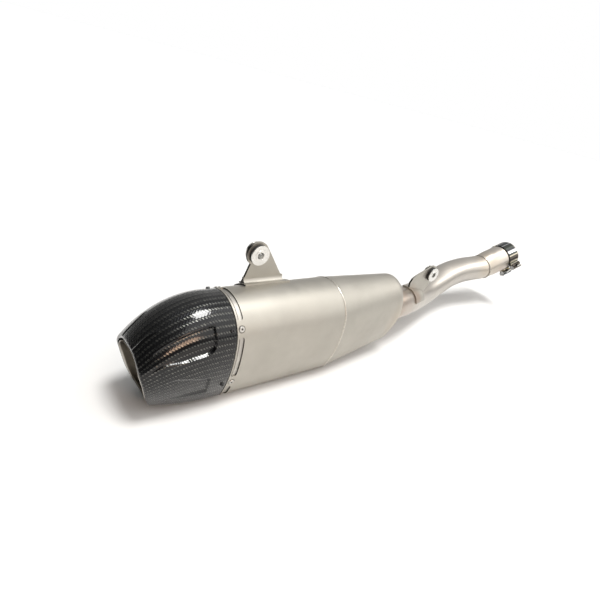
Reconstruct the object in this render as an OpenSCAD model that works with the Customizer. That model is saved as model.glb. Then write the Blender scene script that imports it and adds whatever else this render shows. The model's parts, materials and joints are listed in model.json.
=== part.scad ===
// Motorcycle slip-on silencer: a titanium can with a carbon end cap, a bent link
// pipe with a slip-fit inlet, two rubber-bushed hanger brackets and a band clamp.
// Frame: origin at the centre of the inlet mouth, +Y along the can towards the
// inlet end, +X outboard, +Z up. All sizes are millimetres.

/* [Can section] */
// Radius of the arched top of the can
top_r = 44.2; // [42:0.2:46]
// Radius of the long side arcs
side_r = 150; // [130:5:180]
// Radius of the two bottom corners
corner_r = 15; // [12:1:18]
// Height of the centre of the top arc above the can axis
top_centre_z = 18.3; // [16:0.1:20]
// Angle above horizontal where the top arc hands over to the side arc
top_end_angle = 5; // [3:1:8]
// Height of the flat underside, below the can axis
bottom_z = -61; // [-64:1:-58]
// Sheet thickness of the sleeve and of the front cone
sheet_t = 1.0; // [0.8:0.1:1.2]

/* [Can lengths] */
// Length of the straight sleeve
sleeve_len = 160; // [150:1:170]
// Length of the tapered stretch of the front cone
cone_len = 120; // [110:1:130]
// Depth of the rounded nose of the front cone
nose_len = 24; // [18:1:28]
// Distance from the sleeve to the upper lip of the end cap
cap_len = 101; // [94:1:106]

/* [End cap] */
// Wall thickness of the carbon end cap
cap_t = 1.2; // [1:0.1:1.6]
// Half width of the mouth
mouth_half_w = 36; // [33:1:38]
// Height of the upper lip above the can axis
mouth_top_z = 15; // [10:1:20]
// Height of the lower lip
mouth_bottom_z = -51; // [-55:1:-49]
// How far the mouth plane leans forward for each millimetre down
mouth_lean = 0.29; // [0.2:0.01:0.32]
// Depth of the moulded side pockets
pocket_depth = 3.2; // [2:0.2:4]

/* [Fasteners] */
// Number of rivets, and of cap screws
fastener_count = 5; // [5:1:5]
// Arc length from the top centre line to the first rivet
fastener_start = -22.6; // [-24:0.2:-20]
// Distance of each fastener row from the joint between cap and sleeve
fastener_y = 5.8; // [5.4:0.1:6.2]
// Diameter of a rivet head
rivet_head_d = 7; // [6:0.5:7]
// Diameter of a cap screw head
screw_head_d = 5; // [4.5:0.5:5.5]

/* [Link pipe] */
// Outer diameter of the link pipe
pipe_d = 50; // [49:0.5:50.5]
// Outer diameter of the inlet socket
socket_d = 54; // [54:0.5:55]
// Bore of the inlet socket, a slip fit over a 50.8 mm header pipe
inlet_bore_d = 51.1; // [51:0.1:51.2]
// Length of the inlet socket
socket_len = 90; // [84:1:96]
// Depth of the bore from the inlet mouth to its stop
inlet_depth = 60; // [50:1:64]
// Upward tilt of the inlet axis, in degrees
inlet_tilt = 19; // [17:1:21]
// Outboard turn of the inlet axis, in degrees
inlet_turn = 4; // [2:1:6]

/* [Hangers] */
// Thickness of both bracket plates
plate_t = 3; // [2.5:0.5:3]
// Radius of the round ear that carries a grommet
ear_r = 14.5; // [14:0.5:16]
// Diameter of the steel bush flanges
flange_d = 24; // [22:1:26]
// Bore of the hanger bushes, for an M8 bolt
hanger_bore_d = 8.4; // [8.4:0.1:9]
// Overall length of a hanger bush
bush_len = 14.4; // [14:0.2:16]

/* [Clamp] */
// Width of the clamp band
band_w = 26; // [22:1:28]
// Thickness of the clamp band
band_t = 1.4; // [1:0.1:1.6]
// Angle of the clamp bolt below the outboard direction
clamp_angle = 37; // [20:1:60]

/* [Hidden] */
$fn = 64;

// Centre of the inlet mouth in the can's frame, whose origin is on the can axis
// at the joint between end cap and sleeve.
inlet_mouth = [-53, 755, 48];
inlet_axis = [sin(inlet_turn) * cos(inlet_tilt), cos(inlet_turn) * cos(inlet_tilt),
              sin(inlet_tilt)];

// Clearances: between fixed sheet parts, in running fits, and beside running faces
gap = 0.05;
running_gap = 0.05;
face_gap = 0.1;

// ---- can outline: arcs that meet tangentially, in X and Z ----
side_c = [(top_r - side_r) * cos(top_end_angle),
          top_centre_z + (top_r - side_r) * sin(top_end_angle)];
side_end_angle = asin((bottom_z + corner_r - side_c.y) / (side_r - corner_r));
corner_c = [side_c.x + (side_r - corner_r) * cos(side_end_angle), bottom_z + corner_r];
top_z = top_centre_z + top_r;

// Arc lengths along the right half of the outline, measured from the top
arc_unit = PI / 180;
s_top = top_r * (90 - top_end_angle) * arc_unit;
s_side = s_top + side_r * (top_end_angle - side_end_angle) * arc_unit;
s_corner = s_side + corner_r * (side_end_angle + 90) * arc_unit;
s_half = s_corner + corner_c.x;

function wrap_s(s) = s > s_half ? s - 2 * s_half : s < -s_half ? s + 2 * s_half : s;

// Outward normal angle at arc length s on the right half
function right_angle(s) =
    s < s_top ? 90 - s / top_r / arc_unit :
    s < s_side ? top_end_angle - (s - s_top) / side_r / arc_unit :
    s < s_corner ? side_end_angle - (s - s_side) / corner_r / arc_unit : -90;

// Point at arc length s on the right half, moved outwards by d
function right_point(s, d) =
    let (a = right_angle(s), n = [cos(a), sin(a)])
    s < s_top ? [0, top_centre_z] + (top_r + d) * n :
    s < s_side ? side_c + (side_r + d) * n :
    s < s_corner ? corner_c + (corner_r + d) * n : [s_half - s, bottom_z - d];

function outline_point(s, d = 0) =
    let (w = wrap_s(s), p = right_point(abs(w), d)) [w < 0 ? -p.x : p.x, p.y];
function outline_angle(s) =
    let (w = wrap_s(s), a = right_angle(abs(w))) w < 0 ? 180 - a : a;

// The whole outline, moved outwards by d; outline_n points, evenly spaced
outline_n = 72;
function outline(d = 0) =
    [for (i = [0:outline_n - 1]) outline_point((i / outline_n * 2 - 1) * s_half, d)];

// A strip along the outline from s0 to s1, between offsets d0 and d1
strip_steps = 14;
function strip(s0, s1, d0, d1) =
    concat([for (i = [0:strip_steps]) outline_point(s0 + (s1 - s0) * i / strip_steps, d0)],
           [for (i = [strip_steps:-1:0]) outline_point(s0 + (s1 - s0) * i / strip_steps, d1)]);

// ---- loft helpers ----
// Closed skin through m rings of n points each, the last ring joined to the first
function ring_faces(m, n) =
    [for (j = [0:m - 1], i = [0:n - 1], k = [0:1])
        let (a = j * n + i, b = j * n + (i + 1) % n, e = (j + 1) % m * n)
        k == 0 ? [a, b, e + (i + 1) % n] : [a, e + (i + 1) % n, e + i]];

function reversed(list) = [for (i = [len(list) - 1:-1:0]) list[i]];

module shell(outer, inner) {
    rings = concat(outer, reversed(inner));
    polyhedron(points = [for (r = rings) each r],
               faces = ring_faces(len(rings), len(outer[0])), convexity = 6);
}

// The can outline scaled to half width w, top zt and bottom zb
function scaled(p, w, zt, zb) =
    [p.x * w / top_r, zb + (p.y - bottom_z) / (top_z - bottom_z) * (zt - zb)];

function mix(a, b, t) = a + (b - a) * t;

// ---- placement helpers ----
module in_can() { translate(-inlet_mouth) children(); }
module along_y(y, h) { translate([0, y + h, 0]) rotate([90, 0, 0]) linear_extrude(h) children(); }
module tube_y(y, h, r) { translate([0, y, 0]) rotate([-90, 0, 0]) cylinder(h = h, r = r); }

// Puts children on the can outline at arc length s, local Z pointing outwards
module on_outline(s, y, d = 0) {
    p = outline_point(s, d);
    translate([p.x, y, p.y]) rotate([0, 90 - outline_angle(s), 0]) children();
}

// Local Z runs along the inlet axis, out of the mouth, with its origin at the mouth
module on_inlet() { rotate([inlet_tilt - 90, 0, -inlet_turn]) children(); }

function rivet_s(i) = fastener_start + i * 2 * s_half / fastener_count;

// ---- can ----
slot_w = 6.9;
slot_y = 5.6;
slot_margin = 12.5;
rivet_shank_r = 2;

module slot_cutters() {
    for (i = [0:fastener_count - 1]) {
        s0 = rivet_s(i) + slot_margin;
        s1 = rivet_s(i + 1) - slot_margin;
        along_y(slot_y - slot_w / 2, slot_w) polygon(strip(s0, s1, -3, 3));
        for (s = [s0, s1]) on_outline(s, slot_y, -3) cylinder(h = 6, d = slot_w);
    }
}

module rivet_holes(y) {
    for (i = [0:fastener_count - 1])
        on_outline(rivet_s(i), y, -5) cylinder(h = 10, r = rivet_shank_r + gap);
}

module outer_sleeve() {
    color([0.62, 0.60, 0.55]) in_can() difference() {
        along_y(0.3, sleeve_len - 0.3) difference() {
            polygon(outline(0));
            polygon(outline(-sheet_t));
        }
        slot_cutters();
        rivet_holes(fastener_y);
    }
}

ring_out = -1.25;
ring_in = -2.45;
module end_ring() {
    color([0.60, 0.58, 0.54]) in_can() difference() {
        along_y(-12, 26) difference() {
            polygon(outline(ring_out));
            polygon(outline(ring_in));
        }
        rivet_holes(fastener_y);
        rivet_holes(-fastener_y);
    }
}

module ring_rivets() {
    color([0.78, 0.77, 0.74]) in_can() for (i = [0:fastener_count - 1])
        on_outline(rivet_s(i), fastener_y) difference() {
            union() {
                translate([0, 0, 0.1]) cylinder(h = 0.9, r1 = rivet_head_d / 2, r2 = rivet_head_d / 2 - 0.7);
                translate([0, 0, -3.6]) cylinder(h = 3.8, r = rivet_shank_r);
                translate([0, 0, -4.3]) cylinder(h = 1.7, r = rivet_shank_r + 0.8);
            }
            translate([0, 0, -5]) cylinder(h = 7, r = 0.9);
        }
}

module seam_weld() {
    color([0.66, 0.63, 0.58]) in_can() along_y(sleeve_len - 1.4, 2.8) difference() {
        polygon(outline(0.75));
        polygon(outline(gap));
    }
}

// Front cone: tapers for cone_len, then rounds over into the pipe hole
cone_half_w = 31;
cone_top_z = 60;
cone_bottom_z = -44;
pipe_hole_r = 26;
pipe_hole_c = [-4, 2];
cone_rings = 6;
nose_rings = 7;
function cone_ring(t, d) =
    [for (p = outline(0)) let (w = mix(top_r, cone_half_w, t) - d,
        q = scaled(p, w, mix(top_z, cone_top_z, t) - d, mix(bottom_z, cone_bottom_z, t) + d))
        [q.x, sleeve_len + 0.2 + cone_len * t, q.y]];
function nose_ring(a, d) =
    [for (p = cone_ring(1, d)) let (e = [p.x, p.z] - pipe_hole_c,
        q = pipe_hole_c + e / norm(e) * pipe_hole_r, f = mix(q, [p.x, p.z], cos(a)))
        [f.x, p.y + (nose_len - d) * sin(a), f.y]];
function cone_rings_at(d) =
    concat([for (j = [0:cone_rings - 1]) cone_ring(j / cone_rings, d)],
           [for (j = [0:nose_rings]) nose_ring(90 * j / nose_rings, d)]);

module front_cone() {
    color([0.62, 0.60, 0.55]) in_can() shell(cone_rings_at(0), cone_rings_at(sheet_t));
}

// ---- end cap ----
cap_rings = 18;
// Share of the taper reached at share u of the cap's length
function taper(u) = pow(max(0, (u - 0.15) / 0.85), 1.9);
function smooth(x) = let (c = min(1, max(0, x))) c * c * (3 - 2 * c);
function bump(x, x0, x1, edge) = smooth((x - x0) / edge) * smooth((x1 - x) / edge);

// A pocket is deep at its front end and fades out towards the mouth
function pocket(u, s) =
    let (a = abs(wrap_s(s)))
    smooth((u - 0.22) / 0.06) * smooth((0.78 - u) / 0.5) *
    (bump(a, 38, 73, 7) + 0.7 * bump(a, 101, 131, 6));

function cap_y(u, z) = -u * (cap_len - mouth_lean * (mouth_top_z - z)) - 0.3;
function cap_ring(u, d) =
    [for (i = [0:outline_n - 1]) let (s = (i / outline_n * 2 - 1) * s_half,
        a = outline_angle(s), sink = d + pocket_depth * pocket(u, s),
        p = outline_point(s), t = taper(u),
        q = scaled(p, mix(top_r, mouth_half_w, t), mix(top_z, mouth_top_z, t),
                   mix(bottom_z, mouth_bottom_z, t)) - sink * [cos(a), sin(a)])
        [q.x, cap_y(u, q.y), q.y]];
function cap_rings_at(d) = [for (j = [0:cap_rings]) cap_ring(j / cap_rings, d)];

module end_cap() {
    color([0.07, 0.07, 0.08]) in_can() shell(cap_rings_at(0), cap_rings_at(cap_t));
}

module cap_screws() {
    color([0.05, 0.05, 0.06]) in_can() for (i = [0:fastener_count - 1])
        on_outline(rivet_s(i), -fastener_y) difference() {
            union() {
                translate([0, 0, 0.1]) cylinder(h = 1.6, d1 = screw_head_d, d2 = screw_head_d - 1.4);
                translate([0, 0, -4]) cylinder(h = 4.2, r = 1.5);
            }
            translate([0, 0, 0.7]) cylinder(h = 2, r = 1.2, $fn = 6);
        }
}

// ---- inside the can ----
tube_r = 25;
tube_t = 1;
liner_rings = 8;
liner_back_y = -26;
// Liner ring: u = 0 just inside the lip, u = 1 where it meets the outlet tube
function liner_ring(u, d) =
    [for (p = cap_ring(0.93, cap_t + 3)) let (e = [p.x, p.z], c = e / norm(e) * tube_r,
        n = e / norm(e), t = smooth(u), q = mix(e, c, t) - d * n)
        [q.x, mix(p.y, liner_back_y, u), q.y]];
function liner_rings_at(d) = [for (j = [0:liner_rings]) liner_ring(j / liner_rings, d)];

module outlet_liner() {
    color([0.42, 0.38, 0.33]) in_can() shell(reversed(liner_rings_at(0)), reversed(liner_rings_at(tube_t)));
}

module outlet_tube() {
    color([0.45, 0.42, 0.38]) in_can() difference() {
        tube_y(liner_back_y + 0.1, 44, tube_r);
        tube_y(liner_back_y - 1, 50, tube_r - tube_t);
    }
}

baffle_t = 1.5;
rear_baffle_y = 10;
front_baffle_y = 168;
module rear_baffle() {
    color([0.55, 0.54, 0.52]) in_can() difference() {
        along_y(rear_baffle_y, baffle_t) polygon(outline(ring_in - gap));
        tube_y(rear_baffle_y - 1, 4, tube_r + gap);
    }
}

module front_baffle() {
    color([0.55, 0.54, 0.52]) in_can() difference() {
        along_y(front_baffle_y, baffle_t) polygon(outline(-2.6));
        tube_y(front_baffle_y - 1, 4, tube_r + gap);
    }
}

core_y0 = 18.3;
core_len = 160;
slot_rows = 11;
slots_per_row = 8;
module core_tube() {
    color([0.5, 0.49, 0.47]) in_can() difference() {
        tube_y(core_y0, core_len, tube_r);
        tube_y(core_y0 - 1, core_len + 2, tube_r - tube_t);
        for (j = [0:slot_rows - 1], i = [0:slots_per_row - 1])
            translate([0, core_y0 + 9 + j * 12.5, 0])
                rotate([0, (i + (j % 2) / 2) * 360 / slots_per_row, 0])
                translate([-2, 0, tube_r - 4]) cube([4, 7, 8]);
    }
}

module packing() {
    color([0.85, 0.83, 0.75]) in_can() difference() {
        along_y(15, front_baffle_y - 16) polygon(outline(-3));
        tube_y(14, front_baffle_y - 13, tube_r + 0.2);
    }
}

// ---- hanger brackets ----
rear_ear = [-20, 50, 96.5];
front_ear = [-13, 408, 46];
ear_hole_r = 9.2;

module plate_x(x, t) { translate([x - t / 2, 0, 0]) rotate([90, 0, 90]) linear_extrude(t) children(); }
module ear_hole(ear) {
    translate([ear.x - 10, ear.y, ear.z]) rotate([0, 90, 0]) cylinder(h = 20, r = ear_hole_r);
}

// Rear bracket: a bent plate whose feet follow the top of the can
foot_y0 = 34;
foot_y1 = 98;
// Width of the plate where it meets the fold, and the angle at which its front
// edge leaves the ear
rear_web_y = [36.5, 92];
rear_slope = 38;
fold_r = 5;
plate_foot_z = 59.5;
module rear_bracket() {
    color([0.64, 0.62, 0.57]) in_can() difference() {
        union() {
            along_y(foot_y0, foot_y1 - foot_y0) polygon(strip(-33, -8.5, gap, 2));
            along_y(rear_web_y[0], rear_web_y[1] - rear_web_y[0]) fold_profile();
            plate_x(rear_ear.x, plate_t) {
                translate([rear_ear.y, rear_ear.z]) circle(r = ear_r);
                polygon([[rear_web_y[0], plate_foot_z + 1], [rear_web_y[0], plate_foot_z + 4.5],
                         [43, 86.5], [rear_ear.y, rear_ear.z],
                         [rear_ear.y, rear_ear.z] + ear_r * [cos(rear_slope), sin(rear_slope)],
                         [rear_web_y[1], plate_foot_z + 4.5], [rear_web_y[1], plate_foot_z + 1]]);
            }
        }
        ear_hole(rear_ear);
    }
}

// Cross-section of the bent root of the rear plate, with a concave fillet each side
module fold_profile() {
    x0 = rear_ear.x - plate_t / 2;
    x1 = rear_ear.x + plate_t / 2;
    z1 = plate_foot_z + 8;
    polygon(concat(
        [for (a = [180:15:270]) [x1 + fold_r, z1] + fold_r * [cos(a), 1.1 * sin(a)]],
        [[x1 + fold_r, plate_foot_z + 1.6], [x0 - fold_r, plate_foot_z - 2.2]],
        [for (a = [270:15:360]) [x0 - fold_r, z1] + fold_r * [cos(a), 1.7 * sin(a)]]));
}

// Front bracket: a flat tongue on a saddle that wraps the top of the link pipe
tongue_foot = [[360, 23], [404, 12.4]];
saddle_start = [-14.5, 354, -1.8];
saddle_dir = [-14, 50, -6] / norm([14, 50, 6]);
saddle_len = 40;
saddle_t = 2;
saddle_gap = 0.5;
saddle_from = -104;
saddle_to = -20;
// Turns local Z onto the direction of the saddle, keeping local X nearly outboard
module on_saddle() {
    translate(saddle_start) rotate([-atan2(saddle_dir.y, saddle_dir.z), 0, 0])
        rotate([0, asin(saddle_dir.x), 0]) children();
}
module front_bracket() {
    color([0.64, 0.62, 0.57]) in_can() difference() {
        union() {
            plate_x(front_ear.x, plate_t) hull() {
                translate([front_ear.y, front_ear.z]) circle(r = ear_r);
                polygon(concat(tongue_foot, [[368, 45], [361, 40], [358, 33]]));
            }
            on_saddle() rotate([0, 0, saddle_from]) rotate_extrude(angle = saddle_to - saddle_from)
                translate([pipe_d / 2 + saddle_gap, 0]) square([saddle_t, saddle_len]);
        }
        ear_hole(front_ear);
    }
}

// Weld beads along both long edges of the saddle
module front_bracket_weld() {
    color([0.70, 0.68, 0.63]) in_can() on_saddle() for (a = [saddle_from - 2, saddle_to + 2]) rotate([0, 0, a])
        translate([pipe_d / 2 + 0.9, 0, 3]) cylinder(h = saddle_len - 6, r = 1.3, $fn = 24);
}

// ---- grommets and bushes, one set in each ear ----
grommet_bore_r = 6;
grommet_flange_r = 11.6;
flange_t = 1.5;
module at_ear(ear) { in_can() translate(ear) rotate([0, 90, 0]) children(); }

module grommet(ear) {
    half = bush_len / 2 - flange_t - face_gap;
    color([0.06, 0.06, 0.06]) at_ear(ear) rotate_extrude() polygon([
        [grommet_bore_r, -half], [grommet_flange_r - 1, -half], [grommet_flange_r, 1 - half],
        [grommet_flange_r, -plate_t / 2 - gap], [ear_hole_r - gap, -plate_t / 2 - gap],
        [ear_hole_r - gap, plate_t / 2 + gap], [grommet_flange_r, plate_t / 2 + gap],
        [grommet_flange_r, half - 1], [grommet_flange_r - 1, half], [grommet_bore_r, half]]);
}

// Outer half of a bush: a flange with a raised rim round its bore, on a long sleeve
module bush_outer(ear) {
    sleeve_r = grommet_bore_r - running_gap;
    color([0.80, 0.79, 0.76]) at_ear(ear) difference() {
        union() {
            translate([0, 0, bush_len / 2 - flange_t]) cylinder(h = flange_t - 0.3, d = flange_d);
            translate([0, 0, bush_len / 2 - flange_t]) cylinder(h = flange_t, r = 6.6);
            translate([0, 0, flange_t - bush_len / 2 + gap])
                cylinder(h = bush_len - flange_t - 0.2, r = sleeve_r);
        }
        translate([0, 0, -bush_len]) cylinder(h = 2 * bush_len, d = hanger_bore_d);
    }
}

// Inner half: a plain flange that closes the far end of the sleeve
module bush_inner(ear) {
    color([0.72, 0.71, 0.69]) at_ear(ear) difference() {
        translate([0, 0, -bush_len / 2]) cylinder(h = flange_t, d = flange_d);
        translate([0, 0, -bush_len]) cylinder(h = 2 * bush_len, d = hanger_bore_d);
    }
}

module rear_grommet() { grommet(rear_ear); }
module rear_bush_outer() { bush_outer(rear_ear); }
module rear_bush_inner() { bush_inner(rear_ear); }
module front_grommet() { grommet(front_ear); }
module front_bush_outer() { bush_outer(front_ear); }
module front_bush_inner() { bush_inner(front_ear); }

// ---- link pipe ----
socket_back = inlet_mouth - socket_len * inlet_axis;
// Centre line of the pipe, from the front baffle to the socket
route = [[0, 184, 0], [-1, 245, 1], [-4, 302, 2], [-13, 350, -1], [-27, 400, -7],
         [-42, 450, -10], [-54, 500, -4], [-62, 550, 6], [-65, 600, 12], [-63, 640, 15],
         socket_back - 0.3 * inlet_axis];
route_step = 4;
pipe_sides = 24;

function route_at(i) = i < 0 ? 2 * route[0] - route[1] :
    i > len(route) - 1 ? route[len(route) - 1] + 40 * inlet_axis : route[i];
// Smooth curve through the route's points
function route_curve(k, t) =
    let (a = route_at(k - 1), b = route_at(k), c = route_at(k + 1), e = route_at(k + 2))
    0.5 * (2 * b + (c - a) * t + (2 * a - 5 * b + 4 * c - e) * t * t + (3 * b - a - 3 * c + e) * t * t * t);
route_points = concat(
    [for (k = [0:len(route) - 2], j = [0:route_step - 1]) route_curve(k, j / route_step)],
    [route[len(route) - 1]]);

function unit(v) = v / norm(v);
function pipe_ring(i, r) =
    let (n = len(route_points), p = route_points[i],
         d = i == n - 1 ? inlet_axis : unit(route_points[i + 1] - route_points[max(i - 1, 0)]),
         u = unit(cross(d, [0, 0, 1])), v = cross(u, d))
    [for (j = [0:pipe_sides - 1]) let (a = -360 * j / pipe_sides) p + r * (cos(a) * u + sin(a) * v)];

module link_pipe() {
    last = len(route_points) - 1;
    color([0.66, 0.63, 0.58]) in_can() shell(
        [for (i = [0:last]) pipe_ring(i, pipe_d / 2)],
        [for (i = [0:last]) pipe_ring(i, pipe_d / 2 - 1.2)]);
}

module nose_weld() {
    start = route[2];
    end = route[3];
    d = unit(end - start);
    color([0.70, 0.68, 0.63]) in_can() translate(start + [0, 0.6, 0])
        rotate([-acos(d.z), 0, -atan2(d.x, d.y)])
        rotate_extrude() translate([pipe_d / 2 + 1.6, 0]) circle(r = 1.5, $fn = 24);
}

module socket_weld() {
    color([0.70, 0.68, 0.63]) on_inlet() translate([0, 0, -socket_len - 0.5])
        rotate_extrude() translate([pipe_d / 2 + 1.1, 0]) circle(r = 1, $fn = 24);
}

// ---- inlet socket ----
slit_w = 2.5;
slit_len = 30;
flare_len = 24;
module inlet_socket() {
    color([0.66, 0.63, 0.58]) on_inlet() difference() {
        union() {
            translate([0, 0, flare_len - socket_len]) cylinder(h = socket_len - flare_len, d = socket_d);
            translate([0, 0, -socket_len]) cylinder(h = flare_len, d1 = pipe_d + 1, d2 = socket_d);
        }
        translate([0, 0, -inlet_depth]) cylinder(h = inlet_depth + 1, d = inlet_bore_d);
        translate([0, 0, -socket_len - 1]) cylinder(h = socket_len, r = pipe_d / 2 - 1.2);
        for (a = [45, 135]) rotate([0, 0, a])
            translate([-slit_w / 2, -socket_d, -slit_len]) cube([slit_w, 2 * socket_d, slit_len + 1]);
    }
}

// ---- band clamp ----
band_r = socket_d / 2 + 0.08;
band_z = -band_w - 4;
barrel_r = 4;
loop_t = 1.2;
loop_spread = 15;
loop_x = band_r + band_t + barrel_r + loop_t - 0.6;
bolt_r = 3;
// Half of the opening between the two band ends, in degrees
band_gap_angle = 20;

// Local X points from the inlet axis to the bolt, local Y along the bolt
module on_clamp() { on_inlet() rotate([0, 0, clamp_angle]) children(); }

module sector(r, a0, a1) {
    polygon(concat([[0, 0]], [for (i = [0:8]) r / cos((a1 - a0) / 16) * [cos(mix(a0, a1, i / 8)), sin(mix(a0, a1, i / 8))]]));
}

module loop_place(side) { translate([loop_x, side * loop_spread, 0]) children(); }

module clamp_band() {
    color([0.80, 0.80, 0.82]) on_clamp() difference() {
        union() {
            translate([0, 0, band_z]) linear_extrude(band_w) difference() {
                circle(r = band_r + band_t, $fn = 96);
                circle(r = band_r, $fn = 96);
                polygon([[0, 0], 60 * [cos(band_gap_angle), sin(band_gap_angle)], [80, 0],
                         60 * [cos(band_gap_angle), -sin(band_gap_angle)]]);
            }
            for (side = [-1, 1]) translate([0, 0, band_z + 1]) linear_extrude(band_w - 2) difference() {
                union() {
                    loop_place(side) circle(r = barrel_r + loop_t);
                    loop_root(side);
                }
                loop_place(side) circle(r = barrel_r + gap);
                circle(r = band_r + 0.2, $fn = 96);
            }
        }
        // Slots that let the bolt reach the barrels
        translate([loop_x, 0, band_z + band_w / 2]) cube([40, 2 * loop_spread, 9], center = true);
        translate([loop_x, 0, band_z + band_w / 2]) rotate([90, 0, 0])
            cylinder(h = 60, r = bolt_r + 1, center = true);
    }
}

// Web between a loop and the band
module loop_root(side) {
    polygon([[band_r + 0.3, side * (loop_spread - 4.2)], [loop_x, side * (loop_spread + barrel_r + loop_t - 0.1)],
             [loop_x - 3.5, side * (loop_spread + barrel_r + loop_t - 0.1)],
             [band_r - 4.6, side * (loop_spread + 1.2)]]);
}

module clamp_bridge() {
    color([0.78, 0.78, 0.80]) on_clamp() translate([0, 0, band_z + 2]) linear_extrude(band_w - 4)
        intersection() {
            difference() {
                circle(r = band_r + band_t - 0.2, $fn = 96);
                circle(r = band_r + 0.3, $fn = 96);
            }
            sector(band_r + 6, 3 - band_gap_angle, band_gap_angle - 3);
        }
}

module barrel(side, hole_r) {
    loop_place(side) difference() {
        translate([0, 0, band_z + 0.5]) cylinder(h = band_w - 1, r = barrel_r);
        translate([0, 0, band_z + band_w / 2]) rotate([90, 0, 0])
            cylinder(h = 30, r = hole_r, center = true);
    }
}

module clamp_plain_barrel() { color([0.74, 0.74, 0.76]) on_clamp() barrel(1, bolt_r + running_gap); }
module clamp_nut_barrel() { color([0.74, 0.74, 0.76]) on_clamp() barrel(-1, bolt_r + running_gap); }

spacer_len = 4.5;
module on_bolt(y) {
    on_clamp() translate([loop_x, y, band_z + band_w / 2]) rotate([-90, 0, 0]) children();
}

module clamp_spacer() {
    color([0.76, 0.76, 0.78]) on_bolt(loop_spread + barrel_r + loop_t + 0.1) difference() {
        cylinder(h = spacer_len, r = 5.4);
        translate([0, 0, -1]) cylinder(h = spacer_len + 2, r = bolt_r + running_gap);
    }
}

bolt_head_y = loop_spread + barrel_r + loop_t + 0.2 + spacer_len;
module clamp_bolt() {
    color([0.70, 0.70, 0.72]) union() {
        on_bolt(-loop_spread - barrel_r - 12) cylinder(h = bolt_head_y + loop_spread + barrel_r + 12.1, r = bolt_r);
        on_bolt(bolt_head_y) cylinder(h = 5, r = 5.8, $fn = 6);
        on_bolt(bolt_head_y) cylinder(h = 1, r = 6.4);
    }
}

outer_sleeve();
front_cone();
seam_weld();
end_ring();
ring_rivets();
end_cap();
cap_screws();
outlet_liner();
outlet_tube();
rear_baffle();
front_baffle();
core_tube();
packing();
rear_bracket();
rear_grommet();
rear_bush_outer();
rear_bush_inner();
nose_weld();
link_pipe();
socket_weld();
inlet_socket();
front_bracket();
front_bracket_weld();
front_grommet();
front_bush_outer();
front_bush_inner();
clamp_band();
clamp_bridge();
clamp_plain_barrel();
clamp_nut_barrel();
clamp_spacer();
clamp_bolt();
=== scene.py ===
import json
import math

import bmesh
import bpy
import numpy as np
from mathutils import Matrix, Vector


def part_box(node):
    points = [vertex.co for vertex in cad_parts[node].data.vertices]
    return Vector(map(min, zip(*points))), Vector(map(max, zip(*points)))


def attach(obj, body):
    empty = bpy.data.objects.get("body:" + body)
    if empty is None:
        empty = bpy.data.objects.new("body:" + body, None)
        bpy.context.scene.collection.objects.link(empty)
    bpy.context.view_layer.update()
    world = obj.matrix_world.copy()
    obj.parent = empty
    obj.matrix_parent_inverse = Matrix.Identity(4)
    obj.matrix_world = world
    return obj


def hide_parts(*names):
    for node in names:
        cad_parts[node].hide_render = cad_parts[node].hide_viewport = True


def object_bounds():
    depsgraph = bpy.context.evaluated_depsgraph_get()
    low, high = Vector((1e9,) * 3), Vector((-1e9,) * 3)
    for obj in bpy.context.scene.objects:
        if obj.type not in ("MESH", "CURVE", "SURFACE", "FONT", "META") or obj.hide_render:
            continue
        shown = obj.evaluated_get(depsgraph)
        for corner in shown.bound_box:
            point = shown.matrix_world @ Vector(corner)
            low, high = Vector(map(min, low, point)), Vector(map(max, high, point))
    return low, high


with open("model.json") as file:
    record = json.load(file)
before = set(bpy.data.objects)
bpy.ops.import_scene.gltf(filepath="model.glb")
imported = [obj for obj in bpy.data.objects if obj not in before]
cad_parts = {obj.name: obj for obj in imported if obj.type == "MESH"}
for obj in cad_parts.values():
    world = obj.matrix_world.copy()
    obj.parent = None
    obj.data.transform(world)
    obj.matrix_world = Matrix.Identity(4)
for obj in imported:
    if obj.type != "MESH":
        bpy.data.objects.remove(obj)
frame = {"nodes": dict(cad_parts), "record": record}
CAD_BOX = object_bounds()
NODES = frame["nodes"]
MM = 0.001

# ---------------------------------------------------------------- can frame
# The can's own frame is in millimetres: origin on the can axis where the end cap
# meets the sleeve, +Y towards the inlet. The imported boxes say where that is.
tube_lo, tube_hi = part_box("outlet_tube")
sleeve_lo, sleeve_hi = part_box("outer_sleeve")
JOINT_GAP = 0.3
CAN = np.array([(tube_lo.x + tube_hi.x) / 2, sleeve_lo.y - JOINT_GAP * MM,
                (tube_lo.z + tube_hi.z) / 2])
SLEEVE_LEN = (sleeve_hi.y - sleeve_lo.y) / MM + JOINT_GAP

# The inlet's axis points out of its mouth, tilted up and turned outboard
INLET_MOUTH = -CAN / MM
TILT, TURN = math.radians(19), math.radians(4)
INLET = np.array([math.sin(TURN) * math.cos(TILT), math.cos(TURN) * math.cos(TILT),
                  math.sin(TILT)])
INLET_M = Matrix.Rotation(-TURN, 4, "Z") @ Matrix.Rotation(TILT - math.pi / 2, 4, "X")
# Where the clamp band starts, in metres along the inlet axis
BAND_BACK = min(Vector(INLET).dot(v.co) for v in NODES["clamp_band"].data.vertices)

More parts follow.
